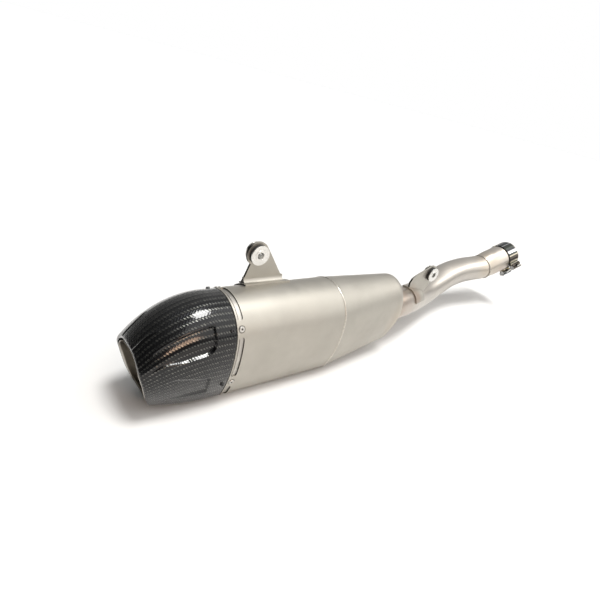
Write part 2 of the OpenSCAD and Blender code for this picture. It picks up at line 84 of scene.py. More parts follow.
# Can outline: a top arc, side arcs and bottom corner arcs that meet tangentially, and a
# flat bottom. The S values are arc lengths from the top to the end of each
TOP_R, SIDE_R, CORNER_R = 44.2, 150.0, 15.0
TOP_CENTRE_Z, BOTTOM_Z = 18.3, -61.0
TOP_END = math.radians(5)
SIDE_C = ((TOP_R - SIDE_R) * math.cos(TOP_END),
          TOP_CENTRE_Z + (TOP_R - SIDE_R) * math.sin(TOP_END))
SIDE_END = math.asin((BOTTOM_Z + CORNER_R - SIDE_C[1]) / (SIDE_R - CORNER_R))
CORNER_C = (SIDE_C[0] + (SIDE_R - CORNER_R) * math.cos(SIDE_END), BOTTOM_Z + CORNER_R)
TOP_Z = TOP_CENTRE_Z + TOP_R
S_TOP = TOP_R * (math.pi / 2 - TOP_END)
S_SIDE = S_TOP + SIDE_R * (TOP_END - SIDE_END)
S_CORNER = S_SIDE + CORNER_R * (SIDE_END + math.pi / 2)
S_HALF = S_CORNER + CORNER_C[0]


def wrap(s):
    """Arc length brought back into -S_HALF..S_HALF, where 0 is the top."""
    return (np.asarray(s, float) + S_HALF) % (2 * S_HALF) - S_HALF


def outline(s, d=0.0):
    """Points X, Z and outward angle on the can outline at arc lengths s, moved out by d."""
    w = wrap(s)
    a = np.abs(w)
    angle = np.where(a < S_TOP, math.pi / 2 - a / TOP_R,
            np.where(a < S_SIDE, TOP_END - (a - S_TOP) / SIDE_R,
            np.where(a < S_CORNER, SIDE_END - (a - S_SIDE) / CORNER_R, -math.pi / 2)))
    c, n = np.cos(angle), np.sin(angle)
    x = np.where(a < S_TOP, (TOP_R + d) * c,
        np.where(a < S_SIDE, SIDE_C[0] + (SIDE_R + d) * c,
        np.where(a < S_CORNER, CORNER_C[0] + (CORNER_R + d) * c, S_HALF - a)))
    z = np.where(a < S_TOP, TOP_CENTRE_Z + (TOP_R + d) * n,
        np.where(a < S_SIDE, SIDE_C[1] + (SIDE_R + d) * n,
        np.where(a < S_CORNER, CORNER_C[1] + (CORNER_R + d) * n, BOTTOM_Z - d)))
    flip = np.where(w < 0, -1.0, 1.0)
    return x * flip, z, np.where(w < 0, math.pi - angle, angle)


# Fasteners round the can: rivets in the sleeve, each in line with a screw in the cap
FASTENERS, FASTENER_START, RIVET_Y = 5, -22.6, 5.8
PITCH = 2 * S_HALF / FASTENERS
rivet_x, rivet_z, _ = outline(FASTENER_START + PITCH * np.arange(FASTENERS))
RIVETS = [(x, RIVET_Y, z) for x, z in zip(rivet_x, rivet_z)]


def smooth(x):
    """0 up to 0, 1 from 1 on, and an S curve between them."""
    c = np.clip(x, 0, 1)
    return c * c * (3 - 2 * c)


def ease(x, start, width):
    """0 up to start and 1 a width further on; a negative width goes the other way."""
    return smooth((x - start) / width)


def mix(a, b, t):
    return a + (b - a) * t


# ---------------------------------------------------------------- mesh helpers
# Edges that turn by more than this are shaded sharp
SHARP = math.radians(38)


def piece(name, node, verts, faces, uv=None, matrix=None):
    """A smooth-shaded piece on the muffler body that stands for a CAD node. Its vertices are
    millimetres in the can's frame, or in the matrix's own frame."""
    co = np.asarray(verts, float)
    if matrix is None:
        co = co * MM + CAN
    else:
        co = (co @ np.array(matrix.to_3x3()).T + np.array(matrix.translation)) * MM
    me = bpy.data.meshes.new(name)
    me.from_pydata(co.tolist(), [], faces)
    if uv is not None:
        layer = me.uv_layers.new(name="surface")
        layer.data.foreach_set("uv", np.asarray(uv, np.float32).ravel())
    me.shade_smooth()
    me.set_sharp_from_angle(angle=SHARP)
    me.materials.append(M[SLOT[node]])
    ob = bpy.data.objects.new(name, me)
    bpy.context.scene.collection.objects.link(ob)
    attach(ob, "muffler")
    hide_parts(node)
    return ob


def grid(rings, coords=None):
    """Vertices, quads and loop UVs through rings of equal length, each ring a closed loop
    and the last joined to the first. coords gives (u, v) at ring j, column 0..n."""
    m, n = len(rings), len(rings[0])
    verts = np.concatenate([np.asarray(r, float) for r in rings])
    faces, uv = [], []
    for j in range(m):
        k = (j + 1) % m
        for i in range(n):
            e = (i + 1) % n
            faces.append((j * n + i, j * n + e, k * n + e, k * n + i))
            if coords is not None:
                uv += [coords[j][i], coords[j][i + 1], coords[k][i + 1], coords[k][i]]
    return verts, faces, (uv if coords is not None else None)


def loft(name, node, rings, coords=None, matrix=None):
    """A closed piece through rings, standing for a CAD node."""
    verts, faces, uv = grid(rings, coords)
    return piece(name, node, verts, faces, uv=uv, matrix=matrix)


def skin(name, node, rings_out, rings_in, coords=None):
    """A closed sheet through outer rings and back through inner rings."""
    if coords is not None:
        coords = coords + coords[::-1]
    return loft(name, node, rings_out + rings_in[::-1], coords)


def lathe(profile, sides):
    """Rings round Z from (radius, z) pairs."""
    t = np.linspace(0, 2 * math.pi, sides, endpoint=False)
    return [np.stack([r * np.cos(t), r * np.sin(t), np.full(sides, z)], 1) for r, z in profile]


def arc(cx, cy, r, a0, a1, n):
    """n + 1 points of an arc, angles in degrees."""
    angles = [math.radians(mix(a0, a1, i / n)) for i in range(n + 1)]
    return [(cx + r * math.cos(a), cy + r * math.sin(a)) for a in angles]


# ---------------------------------------------------------------- materials
class Graph:
    """A small helper over one material's node tree."""

    def __init__(self, name):
        self.mat = bpy.data.materials.new(name)
        self.mat.use_nodes = True
        self.tree = self.mat.node_tree
        self.shader = self.tree.nodes["Principled BSDF"]

    def add(self, kind, **props):
        node = self.tree.nodes.new(kind)
        for key, value in props.items():
            setattr(node, key, value)
        return node

    def put(self, value, socket):
        """Links another node's output into a socket, or sets a constant on it."""
        if hasattr(value, "links"):
            self.tree.links.new(value, socket)
        else:
            socket.default_value = value

    def math(self, op, *values):
        node = self.add("ShaderNodeMath", operation=op)
        for value, socket in zip(values, node.inputs):
            self.put(value, socket)
        return node.outputs[0]

    def noise(self, scale, detail=3.0, stretch=(1, 1, 1)):
        place = self.add("ShaderNodeTexCoord").outputs["Object"]
        mapping = self.add("ShaderNodeMapping")
        mapping.inputs["Scale"].default_value = stretch
        self.put(place, mapping.inputs["Vector"])
        tex = self.add("ShaderNodeTexNoise")
        tex.inputs["Scale"].default_value = scale
        tex.inputs["Detail"].default_value = detail
        self.put(mapping.outputs[0], tex.inputs["Vector"])
        return tex.outputs["Fac"]

    def ramp(self, fac, *stops):
        """Colour ramp from (position, colour) stops."""
        node = self.add("ShaderNodeValToRGB")
        self.put(fac, node.inputs[0])
        while len(node.color_ramp.elements) < len(stops):
            node.color_ramp.elements.new(0.5)
        for element, (pos, colour) in zip(node.color_ramp.elements, stops):
            element.position = pos
            element.color = (*colour, 1)
        return node.outputs["Color"]

    def span(self, fac, low, high, lo=0.0, hi=1.0):
        """fac taken from lo..hi to low..high, and held there."""
        node = self.add("ShaderNodeMapRange")
        for value, name in ((fac, "Value"), (lo, "From Min"), (hi, "From Max"),
                            (low, "To Min"), (high, "To Max")):
            self.put(value, node.inputs[name])
        return node.outputs[0]

    def bump(self, height, strength, distance):
        node = self.add("ShaderNodeBump")
        node.inputs["Strength"].default_value = strength
        node.inputs["Distance"].default_value = distance
        self.put(height, node.inputs["Height"])
        return node.outputs[0]

    def near(self, point, inner, outer):
        """1 within inner mm of a can-frame point, falling to 0 at outer mm."""
        far = self.add("ShaderNodeVectorMath", operation="DISTANCE")
        self.put(self.add("ShaderNodeTexCoord").outputs["Object"], far.inputs[0])
        far.inputs[1].default_value = np.asarray(point) * MM + CAN
        return self.span(far.outputs["Value"], 1.0, 0.0, inner * MM, outer * MM)

    def along(self, axis):
        """Metres along an axis through the frame's origin."""
        dot = self.add("ShaderNodeVectorMath", operation="DOT_PRODUCT")
        self.put(self.add("ShaderNodeTexCoord").outputs["Object"], dot.inputs[0])
        dot.inputs[1].default_value = axis
        return dot.outputs["Value"]

    def blend(self, fac, one, other):
        """Colour mixed from one to other by fac; either may be a plain colour."""
        node = self.add("ShaderNodeMix", data_type="RGBA")
        colours = [s for s in node.inputs if s.type == "RGBA"]
        self.put(fac, node.inputs["Factor"])
        self.put(one, colours[0])
        self.put(other, colours[1])
        return next(s for s in node.outputs if s.type == "RGBA")

    def set(self, **values):
        """Sets the shader's sockets, and gives the finished material."""
        for key, value in values.items():
            self.put(value, self.shader.inputs[key.replace("_", " ")])
        return self.mat


def metal(name, dark, light, rough, mottle=38.0, grain=1500.0, stretch=(1, 1, 1),
          grain_depth=2e-6, stain=None, heat_tint_and_shade=(), rings=(), outlet_facing_shade=None):
    """Satin metal: mottled tone, uneven roughness and a fine, optionally brushed grain.
    heat lists (point, inner, outer, strength, colour) of tints round points: weld tints, and
    painted shade round the rivets and under the socket.
    rings lists (axis, metres along it, half width, colour) of painted bands of light or shade
    that lie across an axis.
    outlet_facing_shade is painted shade: a dark colour laid on faces turned to the outlet,
    saddle apart, for the dark reflection they show."""
    g = Graph(name)
    colour = g.ramp(g.noise(mottle, 4.0), (0.3, dark), (0.7, light))
    if stain is not None:
        colour = g.blend(g.span(g.noise(9.0, 2.0), 0.0, 0.35, 0.5, 0.75), colour, (*stain, 1))
    # Weld tints, and painted shade at the rivets and under the socket
    for point, inner, outer, strength, tint in heat_tint_and_shade:
        patch = g.math("MULTIPLY", g.near(point, inner, outer),
                       g.span(g.noise(60.0, 3.0), 0.5 * strength, strength, 0.35, 0.65))
        colour = g.blend(patch, colour, (*tint, 1))
    # Painted light and shade in bands across an axis
    for axis, place, half, tint in rings:
        off = g.math("ABSOLUTE", g.math("SUBTRACT", g.along(axis), place))
        colour = g.blend(g.span(off, 1.0, 0.0, half * 0.7, half), colour, (*tint, 1))
    # Painted shade: faces turned to the outlet (-Y) get a dark colour, except at the saddle's
    # back edge
    if outlet_facing_shade is not None:
        facing = g.add("ShaderNodeSeparateXYZ")
        g.put(g.add("ShaderNodeTexCoord").outputs["Normal"], facing.inputs[0])
        facing_shade = g.math("MULTIPLY", g.span(facing.outputs["Y"], 1.0, 0.0, -0.8, -0.5),
                       g.math("SUBTRACT", 1.0, g.near(SADDLE_BACK, 27.7, 28.4)))
        colour = g.blend(facing_shade, colour, (*outlet_facing_shade, 1))
    fine = g.noise(grain, 2.0, stretch)
    uneven = g.math("ADD", g.noise(90.0, 3.0), g.math("MULTIPLY", fine, 0.5))
    return g.set(Base_Color=colour, Metallic=1.0,
                 Roughness=g.span(uneven, rough[0], rough[1], 0.5, 1.0),
                 Normal=g.bump(fine, 0.35, grain_depth))


# Carbon twill: width of a tow and how far it wanders in mm, strands in a tow, and how
# bright the weft and the strands are beside the warp
TOW, WANDER, STRANDS = 2.35, 1.6, 60.0
WEFT_TONE, STRAND_TONE = 0.28, 0.06
WEAVE_DEPTH = 0.0005


def carbon(name):
    """2x2 twill laid on the bias, so its ribs run along the cap, under clear resin.
    The UV map holds millimetres across and along the surface."""
    g = Graph(name)
    split = g.add("ShaderNodeSeparateXYZ")
    g.put(g.add("ShaderNodeUVMap", uv_map="surface").outputs[0], split.inputs[0])
    wander = g.math("MULTIPLY", g.math("SUBTRACT", g.noise(24.0, 1.0), 0.5), WANDER)
    x = g.math("ADD", split.outputs[0], wander)
    y = split.outputs[1]
    per = 1 / (TOW * math.sqrt(2))
    a = g.math("MULTIPLY", g.math("ADD", x, y), per)
    b = g.math("MULTIPLY", g.math("SUBTRACT", x, y), per)
    ia, ib = g.math("FLOOR", a), g.math("FLOOR", b)
    fa, fb = g.math("FRACT", a), g.math("FRACT", b)

    def repeat(one, other):
        """Place in the weave's repeat of four tows."""
        return g.math("FLOORED_MODULO", g.math("ADD", one, other), 4.0)

    # The warp is on top in places 0 and 1 of four. The runs go from 0 to 1 along each float
    warp = g.math("LESS_THAN", repeat(ia, ib), 1.5)
    run_warp = g.math("MULTIPLY", repeat(ia, b), 0.5)
    run_weft = g.math("SUBTRACT", g.math("MULTIPLY", repeat(a, ib), 0.5), 1.0)

    def crown(t):
        """A rounded hump over t from 0 to 1."""
        hump = g.math("SINE", g.math("MULTIPLY", t, math.pi))
        return g.math("SQRT", g.math("MAXIMUM", hump, 0.0))

    def strand(t):
        return g.math("SINE", g.math("MULTIPLY", t, STRANDS))

    def pick(one, other):
        """one on the warp, other on the weft."""
        return g.math("ADD", g.math("MULTIPLY", warp, one),
                      g.math("MULTIPLY", g.math("SUBTRACT", 1.0, warp), other))

    height = pick(g.math("MULTIPLY", crown(fa), crown(run_warp)),
                  g.math("MULTIPLY", crown(fb), crown(run_weft)))
    strands = pick(strand(fa), strand(fb))
    uneven = g.span(g.noise(340.0, 2.0), 0.75, 1.25, 0.3, 0.7)
    tone = g.math("MULTIPLY", g.math("MULTIPLY", height, pick(1.0, WEFT_TONE)), uneven)
    tone = g.math("ADD", tone, g.math("MULTIPLY", strands, STRAND_TONE))
    colour = g.ramp(tone, (0.0, (0.002, 0.002, 0.003)), (0.42, (0.004, 0.005, 0.0055)),
                    (0.8, (0.027, 0.028, 0.027)), (1.0, (0.11, 0.11, 0.098)))
    return g.set(Base_Color=colour, Metallic=0.9, Specular_IOR_Level=0.45,
                 Roughness=g.span(height, 0.45, 0.24),
                 Normal=g.bump(height, 0.55, WEAVE_DEPTH),
                 Coat_Weight=1.0, Coat_Roughness=0.085, Coat_IOR=1.4,
                 Coat_Normal=g.bump(height, 0.06, WEAVE_DEPTH))


def polished_with_painted_reflections(name, *streaks):
    """Polished strip, its colour holding painted reflections: light and dark streaks that lie
    across the band.
    """
    g = Graph(name)
    across = g.add("ShaderNodeCombineXYZ")
    g.put(g.along(INLET_M.col[0].xyz), across.inputs["X"])
    g.put(g.along(INLET_M.col[1].xyz), across.inputs["Y"])
    tex = g.add("ShaderNodeTexNoise")
    tex.inputs["Scale"].default_value = 40.0
    tex.inputs["Detail"].default_value = 0.6
    g.put(across.outputs[0], tex.inputs["Vector"])
    return g.set(Base_Color=g.ramp(tex.outputs["Fac"], *streaks), Metallic=1.0,
                 Roughness=g.span(g.noise(260.0), 0.08, 0.2, 0.3, 0.7),
                 Normal=g.bump(g.noise(900.0), 0.2, 1e-6))


def matte(name, dark, light, rough, scale, depth):
    """Rubber, wool or blacked steel: a fine mottle that is raised where it is lighter."""
    g = Graph(name)
    tone = g.noise(scale, 5.0)
    return g.set(Base_Color=g.ramp(tone, (0.3, dark), (0.75, light)),
                 Roughness=g.span(g.noise(scale * 0.2, 2.0), rough[0], rough[1], 0.3, 0.7),
                 Normal=g.bump(tone, 0.4, depth))


# Places of weld tints and of painted shade, and their colours. The patch under the socket and
# the marks at the rivets are painted shade; the painted shade on outlet-facing edges leaves out
# the saddle's back edge
NOSE_WELD, SOCKET_WELD = (-4.0, 303.0, 2.0), (-59.0, 670.0, 19.0)
SADDLE_FOOT, SADDLE_BACK = (-2.0, 366.0, 12.0), (-14.5, 354.0, -1.8)
# Painted shade: a brown patch that darkens the socket's underside
SOCKET_UNDERSIDE_SHADE = INLET_MOUTH - 45 * INLET + np.array([20, 0, -22])
# RIVET_SHADE is the colour of painted shade round the rivet heads and in their dimples
BROWN, STRAW, RIVET_SHADE = (0.36, 0.25, 0.185), (0.55, 0.45, 0.33), (0.05, 0.045, 0.04)
# The cap's mouth leans back: it lies across MOUTH_AXIS, which it meets MOUTH_AT metres along
LEAN, MOUTH_Y = 0.29, -97.0
MOUTH_AXIS = np.array([0, 1, LEAN])
MOUTH_AXIS /= np.linalg.norm(MOUTH_AXIS)
MOUTH_AT = MOUTH_AXIS @ (CAN + np.array([0, MOUTH_Y, 0]) * MM)
M = {
    "titanium": metal("titanium_satin", (0.405, 0.386, 0.346), (0.445, 0.426, 0.382),
                      (0.40, 0.50), mottle=24.0, stain=(0.41, 0.38, 0.335),
                      # painted shade on faces turned to the outlet
                      outlet_facing_shade=(0.03, 0.028, 0.025),
                      heat_tint_and_shade=[(NOSE_WELD, 26, 52, 0.55, STRAW), (SADDLE_FOOT, 8, 24, 0.7, BROWN)]
                      # painted shade: a dark ring round each rivet head
                      + [(rivet, 4.0, 4.5, 1.0, RIVET_SHADE) for rivet in RIVETS]),
    "titanium_tube": metal("titanium_tube", (0.46, 0.43, 0.39), (0.52, 0.485, 0.44),
                           (0.28, 0.36), mottle=24.0, stain=(0.52, 0.46, 0.39),
                           heat_tint_and_shade=((NOSE_WELD, 24, 70, 0.65, BROWN),
                                 (SOCKET_WELD, 25, 48, 0.45, STRAW),
                                 # painted shade under the socket
                                 (SOCKET_UNDERSIDE_SHADE, 8, 30, 0.9, BROWN)),
                           # painted shade: a dark line on the socket along the clamp band's
                           # edge, for the shadow in the gap under the band
                           rings=((INLET, BAND_BACK - 0.0008, 0.0021, (0.012, 0.010, 0.008)),)),
    "weld_bead": metal("weld_bead", (0.40, 0.38, 0.34), (0.62, 0.58, 0.52), (0.25, 0.42),
                       mottle=420.0, stain=(0.42, 0.34, 0.27)),
    "rivet_steel": metal("rivet_steel", (0.44, 0.43, 0.41), (0.56, 0.55, 0.52), (0.30, 0.44),
                         # painted shade in the rivet heads' dimples
                         mottle=300.0, heat_tint_and_shade=[(rivet, 1.3, 2.0, 1.0, RIVET_SHADE) for rivet in RIVETS]),
    "carbon": carbon("carbon_twill"),
    "screw_black": matte("screw_black", (0.008, 0.008, 0.009), (0.02, 0.02, 0.021),
                         (0.3, 0.45), 700.0, 1e-5),
    "liner_steel": metal("liner_heat", (0.17, 0.15, 0.12), (0.30, 0.27, 0.225), (0.30, 0.5),
                         mottle=60.0, stain=(0.22, 0.18, 0.155),
                         # painted highlight: a light band round the liner's rim at the mouth
                         rings=((MOUTH_AXIS, MOUTH_AT, 0.0022, (0.60, 0.57, 0.52)),)),
    "inner_steel": metal("inner_steel", (0.42, 0.40, 0.37), (0.52, 0.50, 0.46), (0.3, 0.45)),
    "packing_wool": matte("packing_wool", (0.62, 0.58, 0.46), (0.80, 0.77, 0.68),
                          (0.85, 0.95), 900.0, 4e-4),
    "rubber": matte("rubber", (0.010, 0.010, 0.010), (0.028, 0.028, 0.027),
                    (0.55, 0.75), 1200.0, 3e-5),
    "bush_steel": metal("bush_steel", (0.66, 0.65, 0.62), (0.76, 0.75, 0.72), (0.20, 0.36),
                        mottle=150.0, stretch=(30, 1, 1)),
    # painted reflections: the light, tan and dark streaks in the band's colour
    "clamp_steel": polished_with_painted_reflections("clamp_polished", (0.35, (0.03, 0.035, 0.045)),
                            (0.43, (0.10, 0.11, 0.10)), (0.45, (0.85, 0.85, 0.85)),
                            (0.47, (0.05, 0.05, 0.06)), (0.545, (0.10, 0.11, 0.09)),
                            (0.57, (0.75, 0.68, 0.55)), (0.60, (0.08, 0.07, 0.06))),
    "clamp_pin": metal("clamp_pin", (0.58, 0.58, 0.58), (0.70, 0.70, 0.70), (0.16, 0.30)),
    "bolt_steel": metal("bolt_steel", (0.52, 0.51, 0.49), (0.66, 0.65, 0.62), (0.18, 0.34)),
}
SLOT = {s["node"]: s["material_slot"] for s in frame["record"]["subparts"]}


# ---------------------------------------------------------------- can pieces
def columns(n):
    """n arc lengths evenly round the outline, from the middle of the bottom."""
    return (np.arange(n) / n * 2 - 1) * S_HALF


COLS = 288
S_RING = columns(COLS)


def can_ring(y, d):
    """The can outline at y, moved out by d."""
    x, z, _ = outline(S_RING, d)
    return np.stack([x, np.full(COLS, float(y)), z], 1)


def flat_band(name, node, y0, y1, d_out, d_in, edge=0.25, shoulder=None):
    """A straight band of the can outline with rounded edges. shoulder is (y, depth): up to
    that y the outside is sunk by depth."""
    start = y0 + edge
    outer = [can_ring(y0, d_out - edge), can_ring(start, d_out)]
    if shoulder is not None:
        start, depth = shoulder
        outer = [can_ring(y0, d_out - depth - edge), can_ring(y0 + edge, d_out - depth),
                 can_ring(start, d_out - depth), can_ring(start, d_out)]
    outer += [can_ring(mix(start, y1 - edge, t), d_out) for t in np.linspace(0, 1, 9)[1:]]
    outer += [can_ring(y1, d_out - edge)]
    inner = [can_ring(y0, d_in + edge), can_ring(y0 + edge, d_in),
             can_ring(y1 - edge, d_in), can_ring(y1, d_in + edge)]
    return skin(name, node, outer, inner)


# Slots in the sleeve: their middle and width along Y, and how far their round ends'
# centres stay from the rivets. The rest is the mesh of the cutters
SLOT_Y, SLOT_W, SLOT_MARGIN = 5.6, 6.9, 12.5
END_STEPS, RUN_STEPS, CUTTER_REACH = 10, 24, 2.5


def stadium_cutter(i):
    """A solid that follows the outline between two rivets, to cut one slot."""
    s0 = FASTENER_START + i * PITCH + SLOT_MARGIN
    s1 = s0 + PITCH - 2 * SLOT_MARGIN
    r = SLOT_W / 2
    fractions = [k / RUN_STEPS for k in range(1, RUN_STEPS)]
    loop = arc(s1, SLOT_Y, r, -90, 90, END_STEPS)
    loop += [(mix(s1, s0, t), SLOT_Y + r) for t in fractions]
    loop += arc(s0, SLOT_Y, r, 90, 270, END_STEPS)
    loop += [(mix(s0, s1, t), SLOT_Y - r) for t in fractions]
    loop = np.array(loop)
    verts, n = [], len(loop)
    for d in (CUTTER_REACH, -CUTTER_REACH):
        x, z, _ = outline(loop[:, 0], d)
        verts.append(np.stack([x, loop[:, 1], z], 1))
    faces = [(k, (k + 1) % n, n + (k + 1) % n, n + k) for k in range(n)]
    # A strip of quads from one round end's tip to the other closes each side of the cutter
    order = list(range(n))
    tip = END_STEPS // 2
    ring = order[tip:] + order[:tip]
    for k in range(n // 2 - 1):
        a, b = ring[k], ring[k + 1]
        c, e = ring[n - 2 - k], ring[n - 1 - k]
        if len({a, b, c, e}) == 4:
            faces.append((a, e, c, b))
            faces.append((n + a, n + b, n + c, n + e))
        else:
            tri = list(dict.fromkeys((a, e, c, b)))
            faces.append(tuple(tri))
            faces.append(tuple(n + q for q in reversed(tri)))
    return np.concatenate(verts), faces


def cut(ob, cutters):
    """Cuts closed meshes out of a piece, exactly, and keeps the result."""
    bm = bmesh.new()
    for verts, faces in cutters:
        made = [bm.verts.new(Vector(v * MM + CAN)) for v in verts]
        for f in faces:
            bm.faces.new([made[k] for k in f])
    bmesh.ops.recalc_face_normals(bm, faces=bm.faces)
    me = bpy.data.meshes.new("cutter")
    bm.to_mesh(me)
    bm.free()
    tool = bpy.data.objects.new("cutter", me)
    bpy.context.scene.collection.objects.link(tool)
    mod = ob.modifiers.new("cut", "BOOLEAN")
    mod.operation, mod.solver, mod.object = "DIFFERENCE", "EXACT", tool
    dg = bpy.context.evaluated_depsgraph_get()
    done = bpy.data.meshes.new_from_object(ob.evaluated_get(dg))
    ob.modifiers.clear()
    ob.data = done
    done.shade_smooth()
    done.set_sharp_from_angle(angle=SHARP)
    bpy.data.objects.remove(tool)


SHEET_T = 1.0
sleeve = flat_band("sleeve", "outer_sleeve", JOINT_GAP, SLEEVE_LEN, 0.0, -SHEET_T, edge=0.2)
cut(sleeve, [stadium_cutter(i) for i in range(FASTENERS)])
# The ring's shoulder draws the line along the cap side of each slot
RING_BACK, RING_FRONT, RING_OUT, RING_IN = -12, 14, -1.25, -2.45
flat_band("cap_ring", "end_ring", RING_BACK, RING_FRONT, RING_OUT, RING_IN,
          shoulder=(SLOT_Y - SLOT_W / 2 + 1.9, 0.65))

# Front cone: half width, top and bottom where it ends in a rounded nose, and the round hole
# in the nose for the pipe
CONE_GAP, CONE_LEN, NOSE_LEN = 0.2, 120.0, 24.0
CONE_HALF_W, CONE_TOP, CONE_BOTTOM = 31.0, 60.0, -44.0
PIPE_HOLE_R, PIPE_HOLE = 26.0, (-4.0, 2.0)


def scaled(x, z, w, top, bottom):
    """Outline points stretched to half width w at the top arc, and from bottom to top."""
    return x * w / TOP_R, bottom + (z - BOTTOM_Z) / (TOP_Z - BOTTOM_Z) * (top - bottom)


def cone_ring(t, d):
    """The cone's outline at t from the sleeve, 0, to the nose, 1, moved in by d."""
    x, z, _ = outline(S_RING)
    x, z = scaled(x, z, mix(TOP_R, CONE_HALF_W, t) - d, mix(TOP_Z, CONE_TOP, t) - d,
                  mix(BOTTOM_Z, CONE_BOTTOM, t) + d)
    return np.stack([x, np.full(COLS, SLEEVE_LEN + CONE_GAP + CONE_LEN * t), z], 1)


def nose_ring(angle, d):
    """The nose, rounded from the cone's end, 0, to the pipe hole, a right angle."""
    r = cone_ring(1, d)
    e = r[:, [0, 2]] - np.array(PIPE_HOLE)
    q = np.array(PIPE_HOLE) + e / np.linalg.norm(e, axis=1)[:, None] * PIPE_HOLE_R
    f = mix(q, r[:, [0, 2]], math.cos(angle))
    return np.stack([f[:, 0], r[:, 1] + (NOSE_LEN - d) * math.sin(angle), f[:, 1]], 1)


def cone_rings(d, steps=25):
    return ([cone_ring(t, d) for t in np.linspace(0, 1, steps)[:-1]]
            + [nose_ring(a, d) for a in np.linspace(0, math.pi / 2, steps)])


skin("cone", "front_cone", cone_rings(0.0), cone_rings(SHEET_T))

# Weld beads are stacked dimes: a flattened section of this many sides whose height
# ripples by a share of itself, in curved fronts. A bead on the can sits just clear of it
BEAD_SIDES, RIPPLE, FRONT_CURVE, BEAD_SEAT = 12, 0.18, 0.35, 0.05


def bead_sections(t, height):
    """Across (-1 to 1) and lift for each side of a bead, at ripple counts t along it."""
    for k in range(BEAD_SIDES):
        a = 2 * math.pi * k / BEAD_SIDES
        across, up = math.cos(a), math.sin(a)
        ripple = 1 - RIPPLE + RIPPLE * np.sqrt(1 - (t + FRONT_CURVE * across ** 2) % 1.0)
        yield across, up, height * up * ripple


def can_bead(name, node, y, width, height, pitch, sides=1440):
    """A bead round the can at y, without ripples underneath."""
    x, z, a = outline(columns(sides), BEAD_SEAT)
    line = np.stack([x, np.full(sides, y), z], 1)
    out = np.stack([np.cos(a), 0 * a, np.sin(a)], 1)
    length = np.linalg.norm(np.roll(line, -1, 0) - line, axis=1).sum()
    t = np.arange(sides) / sides * round(length / pitch)
    rings = []
    for across, up, lift in bead_sections(t, height):
        if up <= 0:
            lift = np.full(sides, height * up)
        rings.append(line + np.array([0, across * width, 0]) + out * lift[:, None])
    return loft(name, node, rings)


def ring_bead(name, node, matrix, radius, width, height, pitch, sides=900):
    """A bead round the pipe, on a circle about the matrix's Z axis."""
    t = np.linspace(0, 2 * math.pi, sides, endpoint=False)
    out = np.stack([np.cos(t), np.sin(t), 0 * t], 1)
    count = round(2 * math.pi * radius / pitch)
    rings = [out * (radius + lift)[:, None] + np.array([0, 0, width * across])
             for across, _, lift in bead_sections(t / (2 * math.pi) * count, height)]
    return loft(name, node, rings, matrix=matrix)


can_bead("girth_weld", "seam_weld", SLEEVE_LEN, width=1.5, height=0.62, pitch=1.7)

# ---------------------------------------------------------------- end cap
# Places along the cap are fractions u of its length, from the sleeve to the mouth, and
# places round it are arc lengths from its top on either side
CAP_LEN, CAP_T = 101.0, 1.2
MOUTH_W, MOUTH_TOP, MOUTH_BOTTOM = 36.0, 15.0, -51.0
TAPER_FROM, TAPER_POWER = 0.15, 1.9
# How deep the pockets are, how high the crease is, how far the mouth is cut back above and
# below its straight sides, and how much thicker the lip is than the wall
POCKET, RIDGE, MOUTH_SWEEP, LIP = 3.7, 0.9, 0.034, 2.7
# The pairs below are start and width for ease(). First the mouth's cut back along the cap,
# and where its straight sides come in and go out round it
SWEEP_IN, SIDE_IN, SIDE_OUT = (0.6, 0.4), (14, 48), (165, -50)
# Upper pocket: its top, bottom and front edge, the radius of its lower front corner, the
# width of its wall along the front and along the bottom, and how the one becomes the other
UPPER_TOP, UPPER_BOTTOM, UPPER_FRONT, UPPER_CORNER = (38.5, 3), 71.0, 0.215, 13.0
FRONT_WALL, BOTTOM_WALL, WALL_CHANGE = 1.3, 2.8, (5, 8)
# The rise of its bottom towards the mouth, where that comes in, and where the pocket fades
UPPER_RISE, UPPER_RISE_IN, UPPER_FADE = 9.0, (0.5, 0.3), (0.94, -0.45)
# Lower pocket: its top, bottom and front edge, and its share of the depth
LOWER_TOP, LOWER_TOP_WALL, LOWER_BOTTOM = 101.0, 3, (131.0, -10)
LOWER_FRONT, LOWER_SHARE = (0.25, 0.035), 0.5
LOWER_RISE, LOWER_RISE_IN, LOWER_FADE = 14.0, (0.3, 0.45), (0.84, -0.5)
# Crease: its distance from the top at the mouth, how much greater that is behind the bend,
# its half width, and where the bend and the crease itself come in
RIDGE_S, RIDGE_BEND, RIDGE_W = 17.2, 3.2, 1.1
RIDGE_BEND_IN, RIDGE_IN = (0.85, -0.2), (0.66, 0.07)


def taper(u):
    return np.power(np.clip((u - TAPER_FROM) / (1 - TAPER_FROM), 0, None), TAPER_POWER)


def rounded(p, q, r):
    """Distance inside a corner of radius r, from the distances inside its two edges."""
    return np.where((p < r) & (q < r), r - np.hypot(r - p, r - q), np.minimum(p, q))


def pockets(u, s):
    """How far the moulded side pockets are sunk: steep in front, fading to the mouth."""
    a = np.abs(wrap(s))
    behind = CAP_LEN * (u - UPPER_FRONT)
    above = UPPER_BOTTOM - UPPER_RISE * ease(u, *UPPER_RISE_IN) - a
    wall = mix(FRONT_WALL, BOTTOM_WALL, ease(behind, *WALL_CHANGE))
    upper = smooth(rounded(behind, above, UPPER_CORNER) / wall) * ease(a, *UPPER_TOP)
    upper = upper * ease(u, *UPPER_FADE)
    lower_top = LOWER_TOP - LOWER_RISE * ease(u, *LOWER_RISE_IN)
    lower = ease(a, lower_top, LOWER_TOP_WALL) * ease(a, *LOWER_BOTTOM)
    lower = lower * ease(u, *LOWER_FADE) * ease(u, *LOWER_FRONT)
    return upper + LOWER_SHARE * lower


